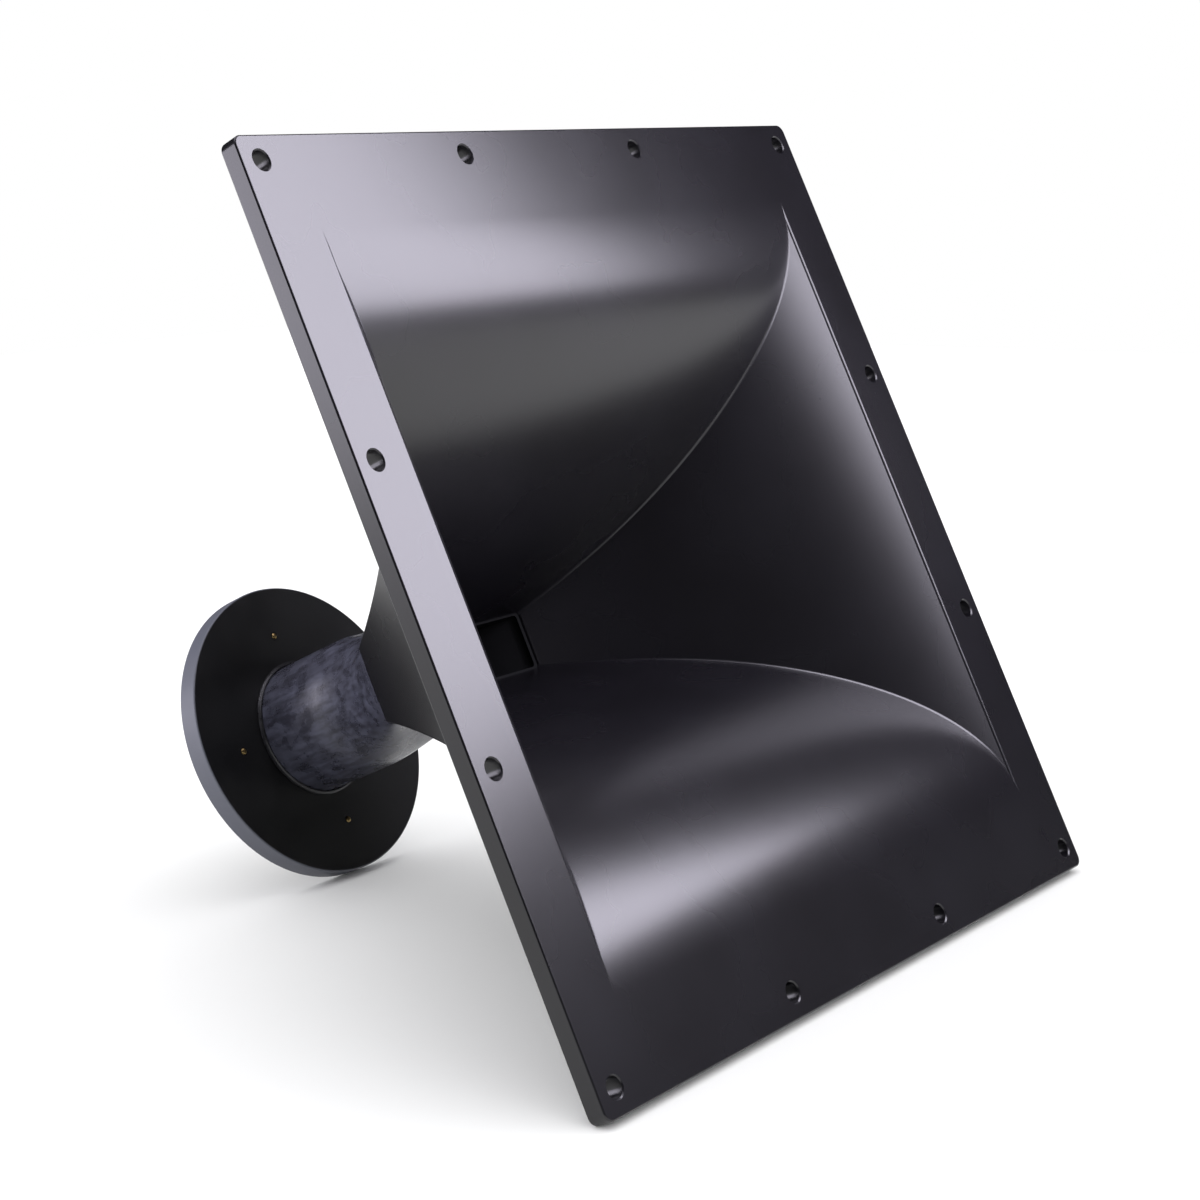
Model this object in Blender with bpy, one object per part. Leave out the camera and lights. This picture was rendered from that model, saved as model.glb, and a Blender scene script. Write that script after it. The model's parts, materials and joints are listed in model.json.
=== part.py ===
"""Square horn flare for a loudspeaker: a flanged bell, a throat neck and a driver plate.

The horn lies back on a table: it rests on the lower rear edge of its flange and on the rim of
its driver plate, with the mouth facing -Y and upwards. Every piece is modelled in the horn's
own axes under one tilted empty: X across the mouth, Y up along the flange, Z out of the mouth,
and Z = 0 on the front face of the flange.
"""
import math

import bmesh
import bpy
from mathutils import Vector
from mathutils.geometry import interpolate_bezier

# Flange
FLANGE_WIDTH = 0.4064
FLANGE_HEIGHT = 0.4064
FLANGE_THICKNESS = 0.009
FLANGE_CORNER_RADIUS = 0.0045
EDGE_ROUND = 0.0009
BOLT_HOLE_DIAMETER = 0.009
BOLT_HOLE_CHAMFER = 0.0006
BOLT_HOLE_INSET = 0.0112
BOLT_HOLES_PER_SIDE = 4

# Bell: the side walls are straight and open faster and faster near the mouth, while the top and
# bottom walls curve out of the slot until they run into the flange
MOUTH_WIDTH = 0.3454
MOUTH_HEIGHT = 0.3228
BELL_DEPTH = 0.1655
MOUTH_FLARE = 0.0221
MOUTH_FLARE_DEPTH = 0.1043
MOUTH_FLARE_POWER = 4
MOUTH_CURVE_REACH = 0.243
SLOT_WIDTH = 0.1065
SLOT_HEIGHT = 0.0270
SLOT_WALL_SLOPE = 0.308
SLOT_CURVE_REACH = 0.887
BELL_WALL = 0.0053
PROFILE_STEPS = 32

# Lap joint: a spigot on the neck sits in a rebate in the end of the bell
LAP_DEPTH = 0.0045
LAP_WALL = 0.0026
LAP_CORNER_RADIUS = 0.003
GLUE_THICKNESS = 0.0005

# Neck: a thick round tube that spreads to the bell's slot
NECK_LENGTH = 0.1051
NECK_DIAMETER = 0.068
NECK_ROUND_LENGTH = 0.042
NECK_CORNER_RADIUS = 0.0125
THROAT_BORE = 0.0508
BORE_CORNER_RADIUS = 0.002
NECK_STEPS = 10

# Driver plate
PLATE_DIAMETER = 0.1524
PLATE_THICKNESS = 0.011
SOCKET_DEPTH = 0.007
BOLT_CIRCLE = 0.1016
BOLT_COUNT = 4
PLATE_TURN_DEGREES = 2.3

# Threaded insert, pressed into the plate from behind; its closed tip comes through the cover of
# plate that is left in front of its body
INSERT_DIAMETER = 0.008
INSERT_COVER = 0.0024
INSERT_THREAD = 0.005
INSERT_FLOOR = 0.0014
INSERT_GROOVE = 0.0005
TIP_DIAMETER = 0.0032
TIP_HEIGHT = 0.0009

# Glue fillet round the neck on the plate
FILLET_WIDTH = 0.0018
FILLET_HEIGHT = 0.0018
FILLET_EDGE = 0.0002

FIT_GAP = 0.0003
CUT_MARGIN = 0.004
ROUND_SIDES = 48
HOLE_SIDES = 24

# Places along the horn's axis
BELL_END = -BELL_DEPTH
PLATE_FRONT = BELL_END - NECK_LENGTH
PLATE_REAR = PLATE_FRONT - PLATE_THICKNESS


def clear_scene():
    for item in list(bpy.data.objects):
        bpy.data.objects.remove(item, do_unlink=True)


def make_material(name, colour, roughness, metallic=0.0):
    material = bpy.data.materials.new(name)
    material.use_nodes = True
    shader = material.node_tree.nodes["Principled BSDF"]
    shader.inputs["Base Color"].default_value = (*colour, 1.0)
    shader.inputs["Roughness"].default_value = roughness
    shader.inputs["Metallic"].default_value = metallic
    material.diffuse_color = (*colour, 1.0)
    return material


# Outlines, each a list of (x, y) running counter-clockwise

def circle(radius, centre=(0.0, 0.0), sides=ROUND_SIDES):
    angles = [2 * math.pi * (step + 0.5) / sides for step in range(sides)]
    return [(centre[0] + radius * math.cos(angle), centre[1] + radius * math.sin(angle))
            for angle in angles]


def rectangle(half_x, half_y):
    return [(half_x, -half_y), (half_x, half_y), (-half_x, half_y), (-half_x, -half_y)]


def rounded_rectangle(half_x, half_y, radius, steps=6):
    points = []
    for quarter, (side_x, side_y) in enumerate([(1, 1), (-1, 1), (-1, -1), (1, -1)]):
        for step in range(steps + 1):
            angle = math.radians(90 * (quarter + step / steps))
            points.append((side_x * (half_x - radius) + radius * math.cos(angle),
                           side_y * (half_y - radius) + radius * math.sin(angle)))
    return points


def soft_rectangle(half_x, half_y, radius):
    """Rounded rectangle that can turn into a circle, because no two points ever meet."""
    radius = min(radius, half_x, half_y)
    return [(math.copysign(half_x - radius, x) + x, math.copysign(half_y - radius, y) + y)
            for x, y in circle(radius)]


# Solids

def skin(mesh, rings, closed=False):
    """Skins (outline, height) rings in turn; the ends are capped, or joined if closed."""
    loops = [[mesh.verts.new((x, y, height)) for x, y in outline] for outline, height in rings]
    pairs = list(zip(loops, loops[1:]))
    if closed:
        pairs.append((loops[-1], loops[0]))
    else:
        mesh.faces.new(loops[0])
        mesh.faces.new(loops[-1])
    for loop, next_loop in pairs:
        for index in range(len(loop)):
            after = (index + 1) % len(loop)
            mesh.faces.new((loop[index], loop[after], next_loop[after], next_loop[index]))


def add_object(name, rings, material, closed=False):
    """One solid on the tilted empty; without a material it is a cutter or a guide."""
    return add_mesh(name, [rings], material, closed)


def add_mesh(name, solids, material, closed=False):
    mesh = bmesh.new()
    for rings in solids:
        skin(mesh, rings, closed)
    bmesh.ops.recalc_face_normals(mesh, faces=mesh.faces)
    data = bpy.data.meshes.new(name)
    mesh.to_mesh(data)
    mesh.free()
    data.shade_smooth()
    data.set_sharp_from_angle(angle=math.radians(30))
    item = bpy.data.objects.new(name, data)
    bpy.context.scene.collection.objects.link(item)
    item.parent = bpy.data.objects["horn_axis"]
    if material:
        data.materials.append(material)
    else:
        item.hide_render = True
        item.display_type = 'WIRE'
    return item


def combine(item, tool, operation):
    step = item.modifiers.new(tool.name, 'BOOLEAN')
    step.operation = operation
    step.solver = 'EXACT'
    step.object = tool


def round_edge(radius, steps=3):
    """(inset, depth) points of a rounded edge, from the flat face round to the side."""
    angles = [math.radians(90 * step / steps) for step in range(steps + 1)]
    return [(radius * (1 - math.sin(angle)), radius * (1 - math.cos(angle))) for angle in angles]


# Bell

def side_flare(depth):
    """Share of the extra opening near the mouth, 1 at the mouth and 0 from its depth on."""
    return max(0.0, 1 - depth / MOUTH_FLARE_DEPTH)


def side_half_width(depth):
    """Half the distance between the side walls, at a depth behind the mouth."""
    straight = (MOUTH_WIDTH - SLOT_WIDTH) / 2 - MOUTH_FLARE
    return (SLOT_WIDTH / 2 + straight * (1 - depth / BELL_DEPTH)
            + MOUTH_FLARE * side_flare(depth) ** MOUTH_FLARE_POWER)


def side_wall_width(depth):
    """Width that a side wall of the bell's thickness takes up across the horn."""
    straight = (MOUTH_WIDTH - SLOT_WIDTH) / 2 - MOUTH_FLARE
    slope = (straight / BELL_DEPTH + MOUTH_FLARE_POWER * MOUTH_FLARE / MOUTH_FLARE_DEPTH
             * side_flare(depth) ** (MOUTH_FLARE_POWER - 1))
    return BELL_WALL * math.hypot(1, slope)


def roof_profile():
    """(depth, half-height) points of the top wall, from the slot to the flange's face."""
    slot = Vector((BELL_DEPTH, SLOT_HEIGHT / 2, 0))
    mouth = Vector((0, MOUTH_HEIGHT / 2, 0))
    slot_handle = slot + Vector((-1, SLOT_WALL_SLOPE, 0)) * BELL_DEPTH * SLOT_CURVE_REACH
    mouth_handle = mouth - Vector((0, MOUTH_CURVE_REACH, 0)) * (mouth.y - slot.y)
    curve = interpolate_bezier(slot, slot_handle, mouth_handle, mouth, PROFILE_STEPS)
    return [(point.x, point.y) for point in curve]


def bell_end_size():
    """Half-width and half-height of the bell's outside where the neck joins it."""
    return (SLOT_WIDTH / 2 + side_wall_width(BELL_DEPTH),
            SLOT_HEIGHT / 2 + BELL_WALL * math.hypot(1, SLOT_WALL_SLOPE))


def bell_outside():
    """The wall's profile set out by its thickness, from the bell's end into the flange."""
    end_y = bell_end_size()[1]
    inner = roof_profile()
    profile = [(BELL_DEPTH, end_y)]
    for (depth, height), (next_depth, next_height) in zip(inner, inner[1:]):
        run = Vector((depth - next_depth, next_height - height)).normalized()
        set_out = (depth + BELL_WALL * run.y, height + BELL_WALL * run.x)
        if FLANGE_THICKNESS / 2 < set_out[0] < 0.98 * BELL_DEPTH:
            profile.append(set_out)
    profile.append((FLANGE_THICKNESS / 2, profile[-1][1]))
    return [(rectangle(side_half_width(depth) + side_wall_width(depth), height), -depth)
            for depth, height in profile]


def bell_inside():
    rings = [(rectangle(side_half_width(depth), height), -depth)
             for depth, height in roof_profile()]
    return [(rings[0][0], BELL_END - CUT_MARGIN), *rings, (rings[-1][0], CUT_MARGIN)]


def lap_outline(clearance=0.0):
    return soft_rectangle(SLOT_WIDTH / 2 + LAP_WALL - clearance,
                          SLOT_HEIGHT / 2 + LAP_WALL - clearance, LAP_CORNER_RADIUS)


def bolt_hole_places():
    """Rows of evenly spaced holes along the four sides, which share the corner holes."""
    reach_x = FLANGE_WIDTH / 2 - BOLT_HOLE_INSET
    reach_y = FLANGE_HEIGHT / 2 - BOLT_HOLE_INSET
    last = BOLT_HOLES_PER_SIDE - 1
    return [(reach_x * (2 * column / last - 1), reach_y * (2 * row / last - 1))
            for column in range(last + 1) for row in range(last + 1)
            if column in (0, last) or row in (0, last)]


def build_horn_bell(material):
    front = [(inset, -depth) for inset, depth in round_edge(EDGE_ROUND)]
    rear = [(inset, depth - FLANGE_THICKNESS) for inset, depth in round_edge(EDGE_ROUND)]
    flange = [(rounded_rectangle(FLANGE_WIDTH / 2 - inset, FLANGE_HEIGHT / 2 - inset,
                                 FLANGE_CORNER_RADIUS - inset), height)
              for inset, height in rear + front[::-1]]
    horn_bell = add_object("horn_bell", flange, material)
    combine(horn_bell, add_object("cut_bell_outside", bell_outside(), None), 'UNION')
    combine(horn_bell, add_object("cut_bell_inside", bell_inside(), None), 'DIFFERENCE')

    rebate = [(lap_outline(), BELL_END - CUT_MARGIN), (lap_outline(), BELL_END + LAP_DEPTH)]
    combine(horn_bell, add_object("cut_lap_rebate", rebate, None), 'DIFFERENCE')

    bore = BOLT_HOLE_DIAMETER / 2
    holes = [[(circle(bore, place, HOLE_SIDES), -FLANGE_THICKNESS - CUT_MARGIN),
              (circle(bore, place, HOLE_SIDES), -BOLT_HOLE_CHAMFER),
              (circle(bore + BOLT_HOLE_CHAMFER, place, HOLE_SIDES), 0.0),
              (circle(bore + BOLT_HOLE_CHAMFER, place, HOLE_SIDES), CUT_MARGIN)]
             for place in bolt_hole_places()]
    combine(horn_bell, add_mesh("cut_bolt_holes", holes, None), 'DIFFERENCE')


# Neck

def neck_section(share, end_size, end_radius, round_radius):
    """Outline a share of the way from the bell's end, at 0, to the round tube, at 1."""
    blend = share * share * (3 - 2 * share)
    width_blend = 1 - (1 - share) ** 2
    half_x = end_size[0] + (round_radius - end_size[0]) * width_blend
    half_y = end_size[1] + (round_radius - end_size[1]) * blend
    return soft_rectangle(half_x, half_y, end_radius + (round_radius - end_radius) * blend)


def build_throat_neck(material):
    spread = NECK_LENGTH - NECK_ROUND_LENGTH
    shares = [step / NECK_STEPS for step in range(NECK_STEPS + 1)]
    slot = (SLOT_WIDTH / 2, SLOT_HEIGHT / 2)
    spigot_front = BELL_END + LAP_DEPTH - GLUE_THICKNESS - 2 * FIT_GAP
    tube_end = PLATE_FRONT - SOCKET_DEPTH + FIT_GAP
    outside = [(neck_section(share, bell_end_size(), NECK_CORNER_RADIUS, NECK_DIAMETER / 2),
                BELL_END - FIT_GAP - spread * share) for share in shares]
    inside = [(neck_section(share, slot, BORE_CORNER_RADIUS, THROAT_BORE / 2),
               BELL_END - FIT_GAP - spread * share) for share in shares]
    rings = [(lap_outline(FIT_GAP), spigot_front), (lap_outline(FIT_GAP), BELL_END - FIT_GAP),
             *outside, (outside[-1][0], tube_end), (inside[-1][0], tube_end),
             *inside[::-1], (inside[0][0], spigot_front)]
    add_object("throat_neck", rings, material, closed=True)


def build_bell_glue(material):
    """Thin bead of glue between the spigot's end and the floor of the rebate."""
    front = BELL_END + LAP_DEPTH - FIT_GAP
    outer = lap_outline(FIT_GAP)
    inner = soft_rectangle(SLOT_WIDTH / 2 + FIT_GAP, SLOT_HEIGHT / 2 + FIT_GAP,
                           BORE_CORNER_RADIUS)
    rings = [(inner, front), (outer, front), (outer, front - GLUE_THICKNESS),
             (inner, front - GLUE_THICKNESS)]
    add_object("bell_glue", rings, material, closed=True)


# Driver plate

def bolt_places():
    angles = [math.radians(PLATE_TURN_DEGREES + 360 * index / BOLT_COUNT)
              for index in range(BOLT_COUNT)]
    return [(BOLT_CIRCLE / 2 * math.cos(angle), BOLT_CIRCLE / 2 * math.sin(angle))
            for angle in angles]


def build_driver_plate(material):
    rim = PLATE_DIAMETER / 2
    bore, socket = THROAT_BORE / 2, NECK_DIAMETER / 2 + FIT_GAP
    socket_floor = PLATE_FRONT - SOCKET_DEPTH
    profile = [(bore, socket_floor), (bore, PLATE_REAR)]
    profile += [(rim - inset, PLATE_REAR + depth) for inset, depth in round_edge(EDGE_ROUND)]
    profile += [(rim - inset, PLATE_FRONT - depth) for inset, depth in
                reversed(round_edge(EDGE_ROUND))]
    profile += [(socket, PLATE_FRONT), (socket, socket_floor)]
    plate = add_object("driver_plate", [(circle(radius), height) for radius, height in profile],
                       material, closed=True)

    body = INSERT_DIAMETER / 2 + FIT_GAP
    tip = TIP_DIAMETER / 2 + FIT_GAP
    floor = PLATE_FRONT - INSERT_COVER + FIT_GAP
    holes = [[(circle(body, place, HOLE_SIDES), PLATE_REAR - CUT_MARGIN),
              (circle(body, place, HOLE_SIDES), floor),
              (circle(tip, place, HOLE_SIDES), floor),
              (circle(tip, place, HOLE_SIDES), PLATE_FRONT + CUT_MARGIN)]
             for place in bolt_places()]
    combine(plate, add_mesh("cut_insert_holes", holes, None), 'DIFFERENCE')


def build_insert(number, place, material):
    """Turned insert: thread bore from behind, a groove round the body and a domed tip."""
    bore, body, tip = INSERT_THREAD / 2, INSERT_DIAMETER / 2, TIP_DIAMETER / 2
    groove = body - INSERT_GROOVE
    length = PLATE_THICKNESS - INSERT_COVER
    front = PLATE_REAR + length
    profile = [(bore, front - INSERT_FLOOR), (bore, PLATE_REAR), (body, PLATE_REAR),
               (body, PLATE_REAR + 0.40 * length), (groove, PLATE_REAR + 0.44 * length),
               (groove, PLATE_REAR + 0.56 * length), (body, PLATE_REAR + 0.60 * length),
               (body, front), (tip, front), (tip, PLATE_FRONT)]
    for angle in (30, 60, 80):
        profile.append((tip * math.cos(math.radians(angle)),
                        PLATE_FRONT + TIP_HEIGHT * math.sin(math.radians(angle))))
    rings = [(circle(radius, place, HOLE_SIDES), height) for radius, height in profile]
    add_object("thread_insert_%d" % number, rings, material)


def build_plate_glue(material):
    """Hollow fillet of glue in the corner between the tube and the plate."""
    inner, floor = NECK_DIAMETER / 2 + FIT_GAP, PLATE_FRONT + FIT_GAP
    profile = [(inner, floor), (inner + FILLET_WIDTH, floor)]
    steps = 6
    for step in range(steps + 1):
        angle = math.radians(90 * step / steps)
        profile.append((inner + FILLET_EDGE + (FILLET_WIDTH - FILLET_EDGE)
                        * (1 - math.sin(angle)),
                        floor + FILLET_EDGE + (FILLET_HEIGHT - FILLET_EDGE)
                        * (1 - math.cos(angle))))
    profile.append((inner, floor + FILLET_HEIGHT))
    rings = [(circle(radius), height) for radius, height in profile]
    add_object("plate_glue", rings, material, closed=True)


# Resting place

def tilt_angle():
    """The lean at which the flange's lower rear edge and the plate's rim touch one plane."""
    rise = (FLANGE_HEIGHT - PLATE_DIAMETER) / 2
    return math.atan2(rise, -PLATE_REAR - FLANGE_THICKNESS)


def stand_on_origin(horn_axis):
    """Moves the horn so that the bottom centre of its box is the origin."""
    bpy.context.view_layer.update()
    points = [item.matrix_world @ vert.co for item in horn_axis.children
              if not item.hide_render for vert in item.data.vertices]
    low = Vector([min(point[axis] for point in points) for axis in range(3)])
    high = Vector([max(point[axis] for point in points) for axis in range(3)])
    horn_axis.location -= Vector(((low.x + high.x) / 2, (low.y + high.y) / 2, low.z))


def main():
    clear_scene()
    horn_axis = bpy.data.objects.new("horn_axis", None)
    bpy.context.scene.collection.objects.link(horn_axis)
    horn_axis.rotation_euler = (math.radians(90) - tilt_angle(), 0, 0)

    moulding = make_material("black_moulding", (0.012, 0.012, 0.014), 0.38)
    neck_moulding = make_material("grey_black_moulding", (0.020, 0.021, 0.026), 0.28)
    brass = make_material("brass", (0.55, 0.42, 0.20), 0.35, 1.0)
    glue = make_material("grey_glue", (0.05, 0.05, 0.055), 0.45)

    build_horn_bell(moulding)
    build_throat_neck(neck_moulding)
    build_bell_glue(glue)
    build_driver_plate(moulding)
    build_plate_glue(glue)
    for number, place in enumerate(bolt_places(), start=1):
        build_insert(number, place, brass)
    stand_on_origin(horn_axis)


main()
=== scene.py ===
import json
import math
import bmesh
import bpy
from mathutils import Matrix, Vector, noise
from mathutils.geometry import interpolate_bezier


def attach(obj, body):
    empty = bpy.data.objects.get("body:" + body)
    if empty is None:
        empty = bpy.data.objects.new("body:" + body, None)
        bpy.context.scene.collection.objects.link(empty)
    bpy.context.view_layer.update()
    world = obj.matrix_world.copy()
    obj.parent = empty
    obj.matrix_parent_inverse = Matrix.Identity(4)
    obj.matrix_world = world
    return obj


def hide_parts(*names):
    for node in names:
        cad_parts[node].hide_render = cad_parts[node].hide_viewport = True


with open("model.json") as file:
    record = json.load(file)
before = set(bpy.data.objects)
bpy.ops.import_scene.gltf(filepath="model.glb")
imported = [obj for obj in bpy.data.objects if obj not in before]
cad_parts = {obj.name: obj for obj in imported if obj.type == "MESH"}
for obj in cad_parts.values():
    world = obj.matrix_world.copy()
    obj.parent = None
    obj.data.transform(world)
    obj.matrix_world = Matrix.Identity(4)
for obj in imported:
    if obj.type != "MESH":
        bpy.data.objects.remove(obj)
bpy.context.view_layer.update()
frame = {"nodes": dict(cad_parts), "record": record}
print("frame loaded")

# Everything is made in the horn's own axes: X across the mouth, Y up the flange,
# Z out of the mouth, with zero at the middle of the flange's face. All sizes are in mm.
mm = 0.001
mountHeight = 185.0  # how far up the flange its front mount sits
mounts = {mount["name"]: mount for mount in frame["record"]["mounts"]}
mouthAxis = Vector(mounts["flange_front"]["axis"]).normalized()
acrossAxis = Vector((1, 0, 0))
upAxis = mouthAxis.cross(acrossAxis)
mouthCentre = Vector(mounts["flange_front"]["pos_m"]) - upAxis * mountHeight * mm
hornAxes = Matrix((acrossAxis, upAxis, mouthAxis)).transposed().to_4x4()
hornAxes.translation = mouthCentre

fitGap = 0.3  # left between neighbouring pieces
cutMargin = 4.0  # how far a cutting tool reaches past what it cuts


def circle(radius, centre=(0.0, 0.0), sides=48):
    turns = [2 * math.pi * (step + 0.5) / sides for step in range(sides)]
    return [(centre[0] + radius * math.cos(turn), centre[1] + radius * math.sin(turn))
            for turn in turns]


def softRectangle(halfX, halfY, radius, sides=48):
    # a circle pulled apart at its quarters, so it can turn into a round without a seam
    radius = min(radius, halfX, halfY)
    return [(math.copysign(halfX - radius, x) + x, math.copysign(halfY - radius, y) + y)
            for x, y in circle(radius, sides=sides)]


def quarterRound(radius, steps=8):
    # (inset, depth) points from the flat face round to the side
    turns = [math.radians(90 * step / steps) for step in range(steps + 1)]
    return [(radius * (1 - math.sin(turn)), radius * (1 - math.cos(turn))) for turn in turns]


def skin(mesh, rings, closed):
    # rings are (outline, height); the ends are capped unless the skin closes on itself
    loops = [[mesh.verts.new((x * mm, y * mm, height * mm)) for x, y in outline]
             for outline, height in rings]
    pairs = list(zip(loops, loops[1:]))
    if closed:
        pairs.append((loops[-1], loops[0]))
    else:
        mesh.faces.new(loops[0])
        mesh.faces.new(loops[-1])
    for loop, following in pairs:
        for index in range(len(loop)):
            after = (index + 1) % len(loop)
            mesh.faces.new((loop[index], loop[after], following[after], following[index]))


def makePiece(name, solids, closed=False):
    mesh = bmesh.new()
    for rings in solids:
        skin(mesh, rings, closed)
    bmesh.ops.recalc_face_normals(mesh, faces=mesh.faces)
    data = bpy.data.meshes.new(name)
    mesh.to_mesh(data)
    mesh.free()
    piece = bpy.data.objects.new(name, data)
    bpy.context.scene.collection.objects.link(piece)
    return piece


def carve(piece, tool, operation):
    # cuts or joins at once, then throws the tool away
    step = piece.modifiers.new("carve", 'BOOLEAN')
    step.operation = operation
    step.solver = 'EXACT'
    step.object = tool
    bpy.context.view_layer.update()
    shaped = bpy.data.meshes.new_from_object(
        piece.evaluated_get(bpy.context.evaluated_depsgraph_get()))
    piece.modifiers.clear()
    piece.data = shaped
    bpy.data.objects.remove(tool, do_unlink=True)


def finishShading(piece, sharpDegrees=32):
    piece.data.shade_smooth()
    piece.data.set_sharp_from_angle(angle=math.radians(sharpDegrees))
    weighted = piece.modifiers.new("face weighted shading", 'WEIGHTED_NORMAL')
    weighted.keep_sharp = True


bell = {"mouthWidth": 345.4, "mouthHeight": 322.8, "depth": 165.5,
        "flare": 22.1, "flareDepth": 104.3, "flarePower": 4,  # the side walls' last opening
        "mouthReach": 0.243, "slotReach": 0.887,  # how long the roof's curve stays straight
        "slotWidth": 106.5, "slotHeight": 27.0, "slotSlope": 0.308, "wall": 5.3,
        "lipRoll": 1.0, "crease": 1.5, "outerCorner": 1.6, "profileSteps": 150}
flange = {"size": 406.4, "thickness": 9.0, "cornerRadius": 4.5, "edgeRound": 0.9,
          "holeBore": 9.0, "holeChamfer": 0.55, "holeInset": 11.2, "holesPerSide": 4}
# the lap is where the neck's spigot sits in the back of the bell; the spigot's mouth opens up
# by "flareUp" to an edge this thin, and stops this clear of the bell's lip
lap = {"depth": 4.5, "wall": 2.6, "corner": 3.0, "flareUp": 1.3, "edge": 0.3, "clear": 0.5}
bellEnd = -bell["depth"]


def sideFlare(depth):
    return max(0.0, 1 - depth / bell["flareDepth"])


def straightFlare():
    return (bell["mouthWidth"] - bell["slotWidth"]) / 2 - bell["flare"]


def sideHalfWidth(depth):
    # straight, and opening faster and faster near the mouth
    return (bell["slotWidth"] / 2 + straightFlare() * (1 - depth / bell["depth"])
            + bell["flare"] * sideFlare(depth) ** bell["flarePower"])


def sideWallWidth(depth):
    # room that a side wall of the bell's thickness takes up across the horn
    slope = (straightFlare() / bell["depth"]
             + bell["flarePower"] * bell["flare"] / bell["flareDepth"]
             * sideFlare(depth) ** (bell["flarePower"] - 1))
    return bell["wall"] * math.hypot(1, slope)


def lipRoll(depth):
    # the lip's rounding pulls the side walls in a little right behind the flange's face
    share = min(1.0, max(0.0, depth / bell["lipRoll"]))
    return bell["lipRoll"] * (math.sqrt(1 - (1 - share) ** 2) - share)


def roofProfile():
    # (depth, half height) of the top wall from the slot to the flange's face
    slot = Vector((bell["depth"], bell["slotHeight"] / 2, 0))
    mouth = Vector((0, bell["mouthHeight"] / 2, 0))
    slotHandle = slot + Vector((-1, bell["slotSlope"], 0)) * bell["depth"] * bell["slotReach"]
    mouthHandle = mouth - Vector((0, bell["mouthReach"], 0)) * (mouth.y - slot.y)
    curve = interpolate_bezier(slot, slotHandle, mouthHandle, mouth, bell["profileSteps"])
    return [(point.x, point.y) for point in curve]


def bellEndSize():
    return (bell["slotWidth"] / 2 + sideWallWidth(bell["depth"]),
            bell["slotHeight"] / 2 + bell["wall"] * math.hypot(1, bell["slotSlope"]))


def bellOutside():
    # the roof's curve set out by the wall, from the bell's end into the flange
    nearEnd = 0.98 * bell["depth"]
    intoFlange = flange["thickness"] / 2
    inner = roofProfile()
    profile = [(bell["depth"], bellEndSize()[1])]
    for (depth, height), (nextDepth, nextHeight) in zip(inner, inner[1:]):
        run = Vector((depth - nextDepth, nextHeight - height)).normalized()
        setOut = (depth + bell["wall"] * run.y, height + bell["wall"] * run.x)
        if intoFlange < setOut[0] < nearEnd:
            profile.append(setOut)
    profile.append((intoFlange, profile[-1][1]))
    return [(softRectangle(sideHalfWidth(depth) + sideWallWidth(depth), height,
                           bell["outerCorner"]), -depth) for depth, height in profile]


def bellInside():
    # the crease's rounding dies out at the mouth, where the lip is sharp
    sharpest = 0.02
    rings = []
    for depth, height in roofProfile():
        corner = max(sharpest, bell["crease"] * min(1.0, depth / (2 * bell["crease"])))
        rings.append((softRectangle(sideHalfWidth(depth) - lipRoll(depth), height, corner),
                      -depth))
    return [(rings[0][0], bellEnd - cutMargin), *rings, (rings[-1][0], cutMargin)]


def boltHolePlaces():
    reach = flange["size"] / 2 - flange["holeInset"]
    last = flange["holesPerSide"] - 1
    return [(reach * (2 * column / last - 1), reach * (2 * row / last - 1))
            for column in range(last + 1) for row in range(last + 1)
            if column in (0, last) or row in (0, last)]


def makeBell():
    half = flange["size"] / 2
    edge = quarterRound(flange["edgeRound"])
    front = [(inset, -depth) for inset, depth in edge]
    rear = [(inset, depth - flange["thickness"]) for inset, depth in edge]
    slab = [(softRectangle(half - inset, half - inset, flange["cornerRadius"] - inset), height)
            for inset, height in rear + front[::-1]]
    piece = makePiece("bell", [slab])
    carve(piece, makePiece("outside", [bellOutside()]), 'UNION')
    carve(piece, makePiece("inside", [bellInside()]), 'DIFFERENCE')
    rebate = softRectangle(bell["slotWidth"] / 2 + lap["wall"],
                           bell["slotHeight"] / 2 + lap["wall"], lap["corner"])
    carve(piece, makePiece("rebate", [[(rebate, bellEnd - cutMargin),
                                       (rebate, bellEnd + lap["depth"])]]), 'DIFFERENCE')
    bore, chamfer = flange["holeBore"] / 2, flange["holeChamfer"]
    holes = [[(circle(bore, place), -flange["thickness"] - cutMargin),
              (circle(bore, place), -chamfer), (circle(bore + chamfer, place), 0.0),
              (circle(bore + chamfer, place), cutMargin)] for place in boltHolePlaces()]
    carve(piece, makePiece("holes", holes), 'DIFFERENCE')
    finishShading(piece)
    return piece


neck = {"length": 105.1, "diameter": 68.0, "tube": 42.0, "corner": 12.5, "bore": 50.8,
        "boreCorner": 2.0, "steps": 44, "tubeSteps": 14, "sides": 128,
        "wave": 0.25, "waveWidth": 30.0, "waveStretch": 0.6}
plate = {"diameter": 152.4, "thickness": 11.0, "socket": 7.0, "edgeRound": 0.8,
         "boreChamfer": 0.5, "socketChamfer": 0.4, "boltCircle": 101.6, "bolts": 4,
         "turn": 2.3, "sides": 192}
plateFront = bellEnd - neck["length"]
plateRear = plateFront - plate["thickness"]


def neckSection(share, endSize, endRadius, roundRadius):
    blend = share * share * (3 - 2 * share)
    widthBlend = 1 - (1 - share) ** 2
    return softRectangle(endSize[0] + (roundRadius - endSize[0]) * widthBlend,
                         endSize[1] + (roundRadius - endSize[1]) * blend,
                         endRadius + (roundRadius - endRadius) * blend, neck["sides"])


def unevenOutline(outline, height):
    # a hand-finished mould leaves the tube slightly wavy
    moved = []
    for x, y in outline:
        place = Vector((x, y, height * neck["waveStretch"])) / neck["waveWidth"]
        push = 1 - neck["wave"] * (0.5 + 0.5 * noise.noise(place)) / math.hypot(x, y)
        moved.append((x * push, y * push))
    return moved


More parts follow.
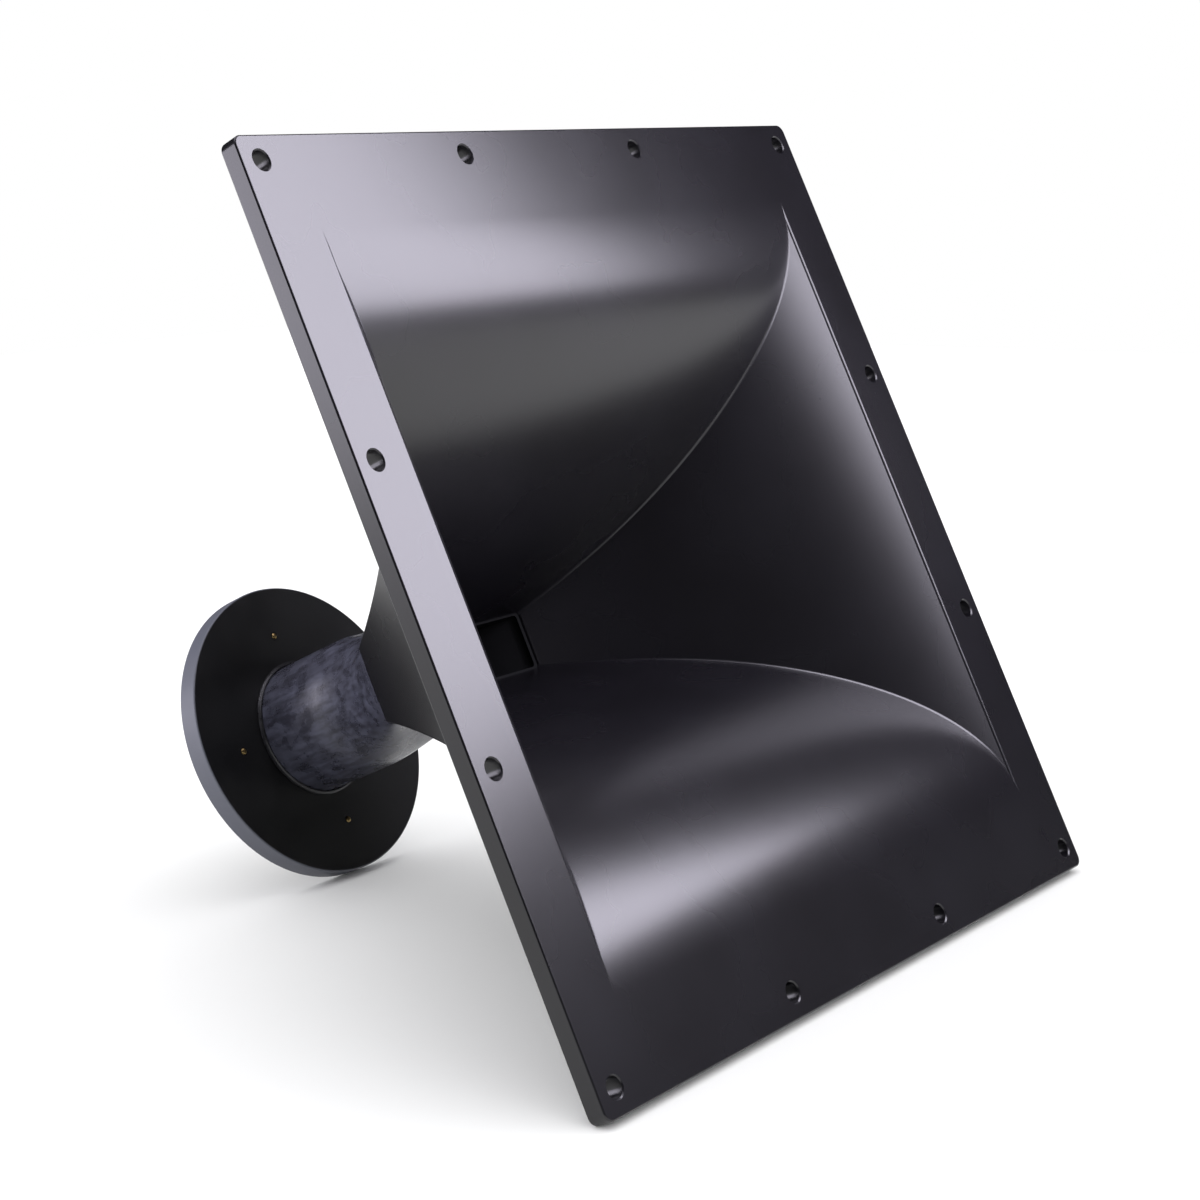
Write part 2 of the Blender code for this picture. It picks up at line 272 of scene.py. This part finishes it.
def makeNeck():
    spread = neck["length"] - neck["tube"]
    shares = [step / neck["steps"] for step in range(neck["steps"] + 1)]
    slot = (bell["slotWidth"] / 2, bell["slotHeight"] / 2)
    spigotFront = bellEnd + lap["depth"] - lap["clear"] - 2 * fitGap
    tubeEnd = plateFront - plate["socket"] + fitGap
    spigotWall = lap["wall"] - fitGap
    spigot = softRectangle(slot[0] + spigotWall, slot[1] + spigotWall, lap["corner"],
                           neck["sides"])
    thin = spigotWall - lap["edge"]
    spigotMouth = softRectangle(slot[0] + thin, slot[1] + min(thin, lap["flareUp"]),
                                neck["boreCorner"], neck["sides"])
    outside = []
    for share in shares:
        height = bellEnd - fitGap - spread * share
        section = neckSection(share, bellEndSize(), neck["corner"], neck["diameter"] / 2)
        outside.append((unevenOutline(section, height) if share else section, height))
    tube = circle(neck["diameter"] / 2, sides=neck["sides"])
    for step in range(1, neck["tubeSteps"] + 1):
        height = outside[len(shares) - 1][1]
        height += (plateFront + fitGap - height) * step / neck["tubeSteps"]
        outside.append((unevenOutline(tube, height), height))
    inside = [(neckSection(share, slot, neck["boreCorner"], neck["bore"] / 2),
               bellEnd - fitGap - spread * share) for share in shares]
    outer = [(spigot, spigotFront), (spigot, bellEnd - fitGap), *outside,
             (outside[-1][0], tubeEnd)]
    inner = [(inside[-1][0], tubeEnd), *inside[::-1], (spigotMouth, spigotFront)]
    piece = makePiece("neck", [outer + inner], closed=True)
    finishShading(piece)
    # the faces inside the throat take the second material, whose near black is painted shade
    for face in piece.data.polygons:
        face.material_index = int(face.index >= len(outer) * neck["sides"])
    return piece


def boltPlaces():
    radius = plate["boltCircle"] / 2
    turns = [math.radians(plate["turn"] + 360 * index / plate["bolts"])
             for index in range(plate["bolts"])]
    return [(radius * math.cos(turn), radius * math.sin(turn)) for turn in turns]


def makePlate():
    rim, bore = plate["diameter"] / 2, neck["bore"] / 2
    socket, socketChamfer = neck["diameter"] / 2 + fitGap, plate["socketChamfer"]
    socketFloor = plateFront - plate["socket"]
    edge = quarterRound(plate["edgeRound"])
    profile = [(bore, socketFloor), (bore, plateRear + plate["boreChamfer"]),
               (bore + plate["boreChamfer"], plateRear)]
    profile += [(rim - inset, plateRear + depth) for inset, depth in edge]
    profile += [(rim - inset, plateFront - depth) for inset, depth in reversed(edge)]
    profile += [(socket + socketChamfer, plateFront), (socket, plateFront - socketChamfer),
                (socket, socketFloor)]
    piece = makePiece("plate", [[(circle(radius, sides=plate["sides"]), height)
                                 for radius, height in profile]], closed=True)
    body, tip = insert["diameter"] / 2 + fitGap, insert["tip"] / 2 + fitGap
    floor = plateFront - insert["cover"] + fitGap
    holes = [[(circle(body, place), plateRear - cutMargin), (circle(body, place), floor),
              (circle(tip, place), floor), (circle(tip, place), plateFront + cutMargin)]
             for place in boltPlaces()]
    carve(piece, makePiece("insert holes", holes), 'DIFFERENCE')
    finishShading(piece)
    return piece


# threadFade is how long the thread takes to run out at its inner end
insert = {"diameter": 8.0, "cover": 2.4, "chamfer": 0.3, "groove": 0.5,
          "grooveSpan": (0.40, 0.44, 0.56, 0.60), "tip": 3.2, "tipHeight": 0.9,
          "threadBore": 5.0, "threadPitch": 1.0, "threadDepth": 0.42, "threadFade": 0.8,
          "floor": 1.4, "drillPoint": 0.6, "stepsPerTurn": 8, "sides": 40}


def insertOutside(place, front):
    # turned body with a groove round it, and a domed tip through the plate
    body, tip = insert["diameter"] / 2, insert["tip"] / 2
    length = front - plateRear
    grooveIn, floorIn, floorOut, grooveOut = [plateRear + share * length
                                              for share in insert["grooveSpan"]]
    profile = [(body - insert["chamfer"], plateRear), (body, plateRear + insert["chamfer"]),
               (body, grooveIn), (body - insert["groove"], floorIn),
               (body - insert["groove"], floorOut), (body, grooveOut), (body, front),
               (tip, front), (tip, plateFront)]
    profile += [(tip * math.cos(math.radians(turn)),
                 plateFront + insert["tipHeight"] * math.sin(math.radians(turn)))
                for turn in range(15, 90, 15)]
    return [(circle(radius, place, insert["sides"]), height) for radius, height in profile]


def insertThread(place, front):
    # the thread is a helix: each ring's radius rises and falls once per turn
    minor, pitch = insert["threadBore"] / 2, insert["threadPitch"]
    threadTop = front - insert["floor"] - insert["drillPoint"]
    rings = [(circle(minor / 2, place, insert["sides"]), front - insert["floor"]),
             (circle(minor, place, insert["sides"]), threadTop)]
    steps = int((threadTop - plateRear) / pitch * insert["stepsPerTurn"])
    for step in range(steps + 1):
        height = threadTop + (plateRear - threadTop) * step / steps
        fade = min(1.0, (threadTop - height) / insert["threadFade"])
        outline = []
        for index in range(insert["sides"]):
            turn = (index + 0.5) / insert["sides"]
            lead = (height / pitch + turn) % 1.0
            radius = minor + fade * insert["threadDepth"] * (1 - abs(2 * lead - 1))
            outline.append((place[0] + radius * math.cos(2 * math.pi * turn),
                            place[1] + radius * math.sin(2 * math.pi * turn)))
        rings.append((outline, height))
    return rings


def makeInsert(number, place):
    front = plateFront - insert["cover"]
    piece = makePiece("insert_%d" % number,
                      [insertThread(place, front) + insertOutside(place, front)])
    finishShading(piece)
    return piece


glueBead = {"width": 1.8, "height": 1.8, "edge": 0.2, "wander": 0.3, "ripples": 3,
            "bendSteps": 7, "sides": 160, "sharpDegrees": 50}


def glueSection(turn):
    # the bead's cross-section at one angle: smoothed by finger, so it wanders a little
    inner, floor = neck["diameter"] / 2 + fitGap, plateFront + fitGap
    ripple = noise.noise(Vector((math.cos(turn), math.sin(turn), 0)) * glueBead["ripples"]
                         + Vector((0, 0, 0.4)))
    width = glueBead["width"] - glueBead["wander"] * (0.5 + ripple)
    height = glueBead["height"] - glueBead["wander"] * (0.5 - ripple)
    edge = glueBead["edge"]
    section = [(inner, floor), (inner + width, floor)]
    for step in range(glueBead["bendSteps"]):
        bend = math.radians(90 * step / (glueBead["bendSteps"] - 1))
        section.append((inner + edge + (width - edge) * (1 - math.sin(bend)),
                        floor + edge + (height - edge) * (1 - math.cos(bend))))
    section.append((inner, floor + height))
    return section


def makeGlueBead():
    sides = glueBead["sides"]
    levels = len(glueSection(0.0))
    piece = makePiece("glue_bead", [[(circle(1, sides=sides), 0)] * levels], closed=True)
    for index in range(sides):
        turn = 2 * math.pi * (index + 0.5) / sides
        for level, (radius, height) in enumerate(glueSection(turn)):
            piece.data.vertices[level * sides + index].co = (
                radius * mm * math.cos(turn), radius * mm * math.sin(turn), height * mm)
    finishShading(piece, glueBead["sharpDegrees"])
    return piece


def linearColour(hexColour):
    parts = [int(hexColour[at:at + 2], 16) / 255 for at in (1, 3, 5)]
    return [part / 12.92 if part <= 0.04045 else ((part + 0.055) / 1.055) ** 2.4
            for part in parts] + [1.0]


def addNode(tree, kind, inputs=None, **settings):
    node = tree.nodes.new(kind)
    for name, value in settings.items():
        setattr(node, name, value)
    for name, value in (inputs or {}).items():
        if isinstance(value, bpy.types.NodeSocket):
            tree.links.new(value, node.inputs[name])
        else:
            node.inputs[name].default_value = value
    return node


def perMetre(sizeInMm):
    # noise scale whose blotches are about this wide
    return 1 / (sizeInMm * mm)


# most of a noise's values lie between these; the Mix node's sockets go by number
noiseSpan = {"From Min": 0.3, "From Max": 0.7}
mixFactor, mixFirst, mixSecond, mixResult = 0, 6, 7, 2


def newMaterial(name, finish, metallic=0.0):
    material = bpy.data.materials.new(name)
    material.use_nodes = True
    tree = material.node_tree
    shader = tree.nodes["Principled BSDF"]
    shader.inputs["Metallic"].default_value = metallic
    if not metallic:
        shader.inputs["IOR"].default_value = finish["ior"]
    inFrame = addNode(tree, "ShaderNodeTexCoord").outputs["Object"]
    place = addNode(tree, "ShaderNodeMapping",
                    {"Vector": inFrame, "Location": hornAxes.translation,
                     "Rotation": hornAxes.to_euler()}, vector_type='TEXTURE').outputs[0]
    return material, tree, shader, place


def finishSurface(tree, shader, finish, colourShare, roughnessNoise, dark, light):
    # colour and roughness each run between two values, by a share and by a noise
    low, high = finish["roughness"]
    colour = addNode(tree, "ShaderNodeMix", {mixFactor: colourShare, mixFirst: dark,
                                             mixSecond: light}, data_type='RGBA')
    rough = addNode(tree, "ShaderNodeMapRange",
                    {"Value": roughnessNoise, "To Min": low, "To Max": high, **noiseSpan})
    tree.links.new(colour.outputs[mixResult], shader.inputs["Base Color"])
    tree.links.new(rough.outputs[0], shader.inputs["Roughness"])


# Real grain and lathe marks are 0.05 to 0.2 mm wide, too fine to show from where the object is
# seen, so "grain" and "toolPitch" below are drawn at 0.3 to 0.9 mm.

# ABS, moulded in a spark-eroded tool: satin black with a very fine, even grain
mouldedAbs = {"dark": "#09080b", "light": "#0d0c10", "roughness": (0.265, 0.28), "ior": 1.5,
              "cloud": 70.0, "grain": 0.55, "grainHeight": 0.008}


def makeMouldedAbs():
    material, tree, shader, place = newMaterial("spark-textured moulded ABS", mouldedAbs)
    cloud = addNode(tree, "ShaderNodeTexNoise",
                    {"Vector": place, "Scale": perMetre(mouldedAbs["cloud"]),
                     "Detail": 3.0}).outputs[0]
    share = addNode(tree, "ShaderNodeMapRange", {"Value": cloud, **noiseSpan}).outputs[0]
    finishSurface(tree, shader, mouldedAbs, share, cloud, linearColour(mouldedAbs["dark"]),
                  linearColour(mouldedAbs["light"]))
    grain = addNode(tree, "ShaderNodeTexNoise",
                    {"Vector": place, "Scale": perMetre(mouldedAbs["grain"]),
                     "Detail": 3.0, "Roughness": 0.6}).outputs[0]
    bump = addNode(tree, "ShaderNodeBump", {"Height": grain, "Strength": 1.0,
                                            "Distance": mouldedAbs["grainHeight"] * mm})
    tree.links.new(bump.outputs[0], shader.inputs["Normal"])
    return material


# cast resin, rubbed down by hand: glossier, blue-black, blotchy and streaked lengthways
castResin = {"dark": "#24242c", "light": "#3d3e4a", "roughness": (0.22, 0.36), "ior": 1.5,
             "blotch": 9.0, "streak": 3.0, "streakStretch": 0.22, "mottleSpan": (0.16, 0.36),
             "lump": 5.0, "lumpHeight": 0.05, "grain": 0.6, "grainHeight": 0.012}


def makeCastResin():
    material, tree, shader, place = newMaterial("hand-rubbed cast resin", castResin)
    lengthways = addNode(tree, "ShaderNodeMapping",
                         {"Vector": place,
                          "Scale": (1.0, 1.0, castResin["streakStretch"])}).outputs[0]
    blotch = addNode(tree, "ShaderNodeTexNoise",
                     {"Vector": place, "Scale": perMetre(castResin["blotch"]),
                      "Detail": 4.0, "Roughness": 0.55}).outputs[0]
    streak = addNode(tree, "ShaderNodeTexNoise",
                     {"Vector": lengthways, "Scale": perMetre(castResin["streak"]),
                      "Detail": 3.0, "Roughness": 0.6}).outputs[0]
    mottle = addNode(tree, "ShaderNodeMath", {0: blotch, 1: streak},
                     operation='MULTIPLY').outputs[0]
    low, high = castResin["mottleSpan"]
    share = addNode(tree, "ShaderNodeMapRange", {"Value": mottle, "From Min": low,
                                                 "From Max": high}).outputs[0]
    finishSurface(tree, shader, castResin, share, blotch, linearColour(castResin["dark"]),
                  linearColour(castResin["light"]))
    lump = addNode(tree, "ShaderNodeTexNoise",
                   {"Vector": lengthways, "Scale": perMetre(castResin["lump"]),
                    "Detail": 2.0}).outputs[0]
    grain = addNode(tree, "ShaderNodeTexNoise",
                    {"Vector": place, "Scale": perMetre(castResin["grain"]),
                     "Detail": 2.0}).outputs[0]
    lumps = addNode(tree, "ShaderNodeBump", {"Height": lump, "Strength": 1.0,
                                             "Distance": castResin["lumpHeight"] * mm})
    fine = addNode(tree, "ShaderNodeBump", {"Height": grain, "Strength": 1.0,
                                            "Distance": castResin["grainHeight"] * mm,
                                            "Normal": lumps.outputs[0]})
    tree.links.new(fine.outputs[0], shader.inputs["Normal"])
    return material


# the same resin inside the throat, made near black and dull as painted shade deep in the
# throat, with fine pits
throatShadeResin = {"dark": "#040405", "light": "#08080a", "roughness": (0.62, 0.75),
                   "ior": 1.5, "sheen": 0.08, "pit": 0.8, "pitHeight": 0.03}


def makeThroatShadeResin():
    material, tree, shader, place = newMaterial("resin darkened as painted throat shade", throatShadeResin)
    shader.inputs["Specular IOR Level"].default_value = throatShadeResin["sheen"]
    pit = addNode(tree, "ShaderNodeTexNoise",
                  {"Vector": place, "Scale": perMetre(throatShadeResin["pit"]),
                   "Detail": 3.0}).outputs[0]
    finishSurface(tree, shader, throatShadeResin, pit, pit,
                  linearColour(throatShadeResin["dark"]), linearColour(throatShadeResin["light"]))
    bump = addNode(tree, "ShaderNodeBump", {"Height": pit, "Strength": 1.0,
                                            "Distance": throatShadeResin["pitHeight"] * mm})
    tree.links.new(bump.outputs[0], shader.inputs["Normal"])
    return material


# ABS plate, turned on a lathe: matte black faces with rings, and a grainy rim painted grey as a
# painted highlight
turnedPlate = {"dark": "#050506", "light": "#0a0a0b", "rim": "#4a4c55",
               "roughness": (0.42, 0.55), "ior": 1.5, "cloud": 25.0,
               "rimHighlightFade": (0.9, 0.3),  # how far inside the rim the painted highlight begins and is full
               "grain": 0.5, "grainHeight": 0.012, "toolPitch": 0.9, "toolHeight": 0.006}


def makeTurnedPlate():
    material, tree, shader, place = newMaterial("lathe-turned ABS", turnedPlate)
    cloud = addNode(tree, "ShaderNodeTexNoise",
                    {"Vector": place, "Scale": perMetre(turnedPlate["cloud"]),
                     "Detail": 3.0}).outputs[0]
    share = addNode(tree, "ShaderNodeMapRange", {"Value": cloud, **noiseSpan}).outputs[0]
    face = addNode(tree, "ShaderNodeMix",
                   {mixFactor: share, mixFirst: linearColour(turnedPlate["dark"]),
                    mixSecond: linearColour(turnedPlate["light"])}, data_type='RGBA')
    fromAxis = addNode(tree, "ShaderNodeVectorMath", {0: place, 1: (1.0, 1.0, 0.0)},
                       operation='MULTIPLY').outputs[0]
    radius = addNode(tree, "ShaderNodeVectorMath", {0: fromAxis},
                     operation='LENGTH').outputs["Value"]
    # the grey "rim" colour is a painted highlight along the rounded edge
    highlightFrom, highlightFull = [(plate["diameter"] / 2 - inset) * mm
                          for inset in turnedPlate["rimHighlightFade"]]
    rimHighlight = addNode(tree, "ShaderNodeMapRange", {"Value": radius, "From Min": highlightFrom,
                                                 "From Max": highlightFull}).outputs[0]
    finishSurface(tree, shader, turnedPlate, rimHighlight, cloud, face.outputs[mixResult],
                  linearColour(turnedPlate["rim"]))
    turns = addNode(tree, "ShaderNodeMath",
                    {0: radius, 1: 2 * math.pi * perMetre(turnedPlate["toolPitch"])},
                    operation='MULTIPLY').outputs[0]
    rings = addNode(tree, "ShaderNodeMath", {0: turns}, operation='SINE').outputs[0]
    grain = addNode(tree, "ShaderNodeTexNoise",
                    {"Vector": place, "Scale": perMetre(turnedPlate["grain"]),
                     "Detail": 3.0, "Roughness": 0.6}).outputs[0]
    marks = addNode(tree, "ShaderNodeBump", {"Height": rings, "Strength": 1.0,
                                             "Distance": turnedPlate["toolHeight"] * mm})
    fine = addNode(tree, "ShaderNodeBump", {"Height": grain, "Strength": 1.0,
                                            "Distance": turnedPlate["grainHeight"] * mm,
                                            "Normal": marks.outputs[0]})
    tree.links.new(fine.outputs[0], shader.inputs["Normal"])
    return material


# brass, turned and left to dull: warm metal with soft darker patches
turnedBrass = {"bright": "#b9a06c", "dull": "#7d6a45", "roughness": (0.28, 0.5),
               "patch": 1.6, "grain": 0.3, "grainHeight": 0.006}


def makeTurnedBrass():
    material, tree, shader, place = newMaterial("dulled turned brass", turnedBrass, 1.0)
    patch = addNode(tree, "ShaderNodeTexNoise",
                    {"Vector": place, "Scale": perMetre(turnedBrass["patch"]),
                     "Detail": 3.0, "Roughness": 0.6}).outputs[0]
    share = addNode(tree, "ShaderNodeMapRange", {"Value": patch, **noiseSpan}).outputs[0]
    finishSurface(tree, shader, turnedBrass, share, patch,
                  linearColour(turnedBrass["bright"]), linearColour(turnedBrass["dull"]))
    grain = addNode(tree, "ShaderNodeTexNoise",
                    {"Vector": place, "Scale": perMetre(turnedBrass["grain"]),
                     "Detail": 2.0}).outputs[0]
    bump = addNode(tree, "ShaderNodeBump", {"Height": grain, "Strength": 1.0,
                                            "Distance": turnedBrass["grainHeight"] * mm})
    tree.links.new(bump.outputs[0], shader.inputs["Normal"])
    return material


# epoxy glue, smoothed and cured: a glossy black line with small dull spots
curedEpoxy = {"dark": "#101012", "light": "#1f1f23", "roughness": (0.25, 0.5), "ior": 1.55,
              "spot": 2.2, "spotHeight": 0.06}


def makeCuredEpoxy():
    material, tree, shader, place = newMaterial("cured epoxy glue", curedEpoxy)
    spot = addNode(tree, "ShaderNodeTexNoise",
                   {"Vector": place, "Scale": perMetre(curedEpoxy["spot"]),
                    "Detail": 3.0, "Roughness": 0.6}).outputs[0]
    share = addNode(tree, "ShaderNodeMapRange", {"Value": spot, **noiseSpan}).outputs[0]
    finishSurface(tree, shader, curedEpoxy, share, spot, linearColour(curedEpoxy["dark"]),
                  linearColour(curedEpoxy["light"]))
    bump = addNode(tree, "ShaderNodeBump", {"Height": spot, "Strength": 1.0,
                                            "Distance": curedEpoxy["spotHeight"] * mm})
    tree.links.new(bump.outputs[0], shader.inputs["Normal"])
    return material


def wear(piece, materials, node):
    # puts a piece in its place on the model, with its materials in order
    piece.data.transform(hornAxes)
    shares = [face.material_index for face in piece.data.polygons]
    piece.data.materials.clear()
    for material in materials:
        piece.data.materials.append(material)
    for face, share in zip(piece.data.polygons, shares):
        face.material_index = min(share, len(materials) - 1)
    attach(piece, "root")
    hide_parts(node)


bellAbs = makeMouldedAbs()
resin = makeCastResin()
# the throat's material paints shade: near black and dull
throat = makeThroatShadeResin()
plateAbs = makeTurnedPlate()
brass = makeTurnedBrass()
epoxy = makeCuredEpoxy()
print("materials made")

wear(makeBell(), [bellAbs], "horn_bell")
print("bell made")
wear(makeNeck(), [resin, throat], "throat_neck")
print("neck made")
wear(makePlate(), [plateAbs], "driver_plate")
wear(makeGlueBead(), [epoxy], "plate_glue")
print("plate and its glue made")
for number, place in enumerate(boltPlaces(), start=1):
    wear(makeInsert(number, place), [brass], "thread_insert_%d" % number)
print("inserts made")
for slotToFill in frame["nodes"]["bell_glue"].material_slots:
    slotToFill.material = throat  # the lap's glue takes the same near-black dull material as the throat, as painted shade in the gap behind the bell's lip
print("lap's glue finished")

# the place is in metres and the directions are in the model's frame; sensor and lens in mm
cameraView = {"place": (-0.9111, -0.7014, 0.3623), "ahead": (0.7716, 0.6145, -0.1642),
              "up": (0.1460, 0.0801, 0.9860), "sensor": 36, "lens": 74.19,
              "shift": (0.0919, -0.0302)}


def makeCamera():
    data = bpy.data.cameras.new("camera")
    data.sensor_width = cameraView["sensor"]
    data.lens = cameraView["lens"]
    data.shift_x, data.shift_y = cameraView["shift"]
    camera = bpy.data.objects.new("camera", data)
    bpy.context.scene.collection.objects.link(camera)
    ahead = Vector(cameraView["ahead"]).normalized()
    side = ahead.cross(Vector(cameraView["up"])).normalized()
    above = side.cross(ahead)
    camera.matrix_world = Matrix.Translation(cameraView["place"]) @ \
        Matrix((side, above, -ahead)).transposed().to_4x4()
    bpy.context.scene.camera = camera


# Each softbox, in metres and degrees: how far it stands from the mouth, its compass and height
# angles seen from there, how it is tipped and rolled, how far it is moved in its own plane,
# its width and height, and its brightness.
softboxes = {
    "main": {"distance": 0.65, "compass": -33, "height": 0, "tip": 40, "roll": -4,
             "offset": (-0.227, 0.532), "size": (0.502, 0.70), "brightness": 8.1},
    "mainBright": {"distance": 0.65, "compass": -33, "height": 0, "tip": 40, "roll": -4,
                   "offset": (-0.428, 0.532), "size": (0.10, 0.70), "brightness": 11.0},
    "back": {"distance": 1.5, "compass": 130, "height": 6, "tip": 6, "roll": 0,
             "offset": (0.0, 0.0), "size": (1.1, 0.55), "brightness": 4.5},
    "overhead": {"distance": 1.6, "compass": 110, "height": 62, "tip": 62, "roll": 0,
                 "offset": (0.0, 0.0), "size": (1.6, 1.2), "brightness": 1.6},
}
lampTint = (0.975, 0.94, 1.085)  # a cool, faintly violet daylight
wattsPerArea = 4  # for each square metre of a softbox at brightness 1


def directionTo(compass, height):
    return Vector((math.cos(compass) * math.cos(height), math.sin(compass) * math.cos(height),
                   math.sin(height)))


def makeSoftbox(name, box, lightsOnly):
    compass, roll = math.radians(box["compass"]), math.radians(box["roll"])
    out = directionTo(compass, math.radians(box["height"]))
    facing = directionTo(compass, math.radians(box["tip"]))
    right = Vector((-math.sin(compass), math.cos(compass), 0))
    up = facing.cross(right)
    right, up = (right * math.cos(roll) + up * math.sin(roll),
                 up * math.cos(roll) - right * math.sin(roll))
    light = bpy.data.lights.new(name, 'AREA')
    light.shape = 'RECTANGLE'
    light.size, light.size_y = box["size"]
    light.energy = wattsPerArea * light.size * light.size_y * box["brightness"]
    light.color = lampTint
    lamp = bpy.data.objects.new(name, light)
    bpy.context.scene.collection.objects.link(lamp)
    centre = mouthCentre + out * box["distance"] + right * box["offset"][0] \
        + up * box["offset"][1]
    lamp.matrix_world = Matrix.Translation(centre) @ \
        Matrix((right, up, facing)).transposed().to_4x4()
    lamp.visible_camera = False
    lamp.light_linking.receiver_collection = lightsOnly


# the paper is 6 m across; its glow is the even light that falls on it from the room
studio = {"paperColour": "#f2f2f3", "paperReach": 3.0, "paperRoughness": 0.9,
          "paperSheen": 0.1, "paperGlow": 1.5, "backdropStrength": 1.0, "roomStrength": 0.02}


def makePaper():
    sheet = bmesh.new()
    bmesh.ops.create_grid(sheet, x_segments=8, y_segments=8, size=studio["paperReach"])
    data = bpy.data.meshes.new("floor")
    sheet.to_mesh(data)
    sheet.free()
    floor = bpy.data.objects.new("floor", data)
    bpy.context.scene.collection.objects.link(floor)
    material = bpy.data.materials.new("matt white paper")
    material.use_nodes = True
    shader = material.node_tree.nodes["Principled BSDF"]
    shader.inputs["Base Color"].default_value = linearColour(studio["paperColour"])
    shader.inputs["Roughness"].default_value = studio["paperRoughness"]
    shader.inputs["Specular IOR Level"].default_value = studio["paperSheen"]
    data.materials.append(material)
    return floor


def makeRoom():
    # the room is plain white to the eye and lights the paper evenly, but is dim in reflections
    world = bpy.data.worlds.new("studio")
    bpy.context.scene.world = world
    world.use_nodes = True
    world.cycles.sampling_method = 'NONE'
    tree = world.node_tree
    tree.nodes.clear()
    white = (1, 1, 1, 1)
    room, backdrop, glow = [addNode(tree, "ShaderNodeBackground",
                                    {"Color": white, "Strength": studio[strength]}).outputs[0]
                            for strength in ("roomStrength", "backdropStrength", "paperGlow")]
    path = addNode(tree, "ShaderNodeLightPath")
    soft = addNode(tree, "ShaderNodeMixShader", {0: path.outputs["Is Diffuse Ray"], 1: room,
                                                 2: glow}).outputs[0]
    both = addNode(tree, "ShaderNodeMixShader", {0: path.outputs["Is Camera Ray"], 1: soft,
                                                 2: backdrop}).outputs[0]
    addNode(tree, "ShaderNodeOutputWorld", {"Surface": both})
    bpy.context.scene.view_settings.view_transform = 'Standard'


def makeStudio():
    # the lamps light everything but the paper
    lightsOnly = bpy.data.collections.new("lit by the lamps")
    lightsOnly.objects.link(makePaper())
    lightsOnly.collection_objects[0].light_linking.link_state = 'EXCLUDE'
    for name, box in softboxes.items():
        makeSoftbox(name, box, lightsOnly)
    makeRoom()


makeCamera()
print("camera made")
makeStudio()
print("studio made")
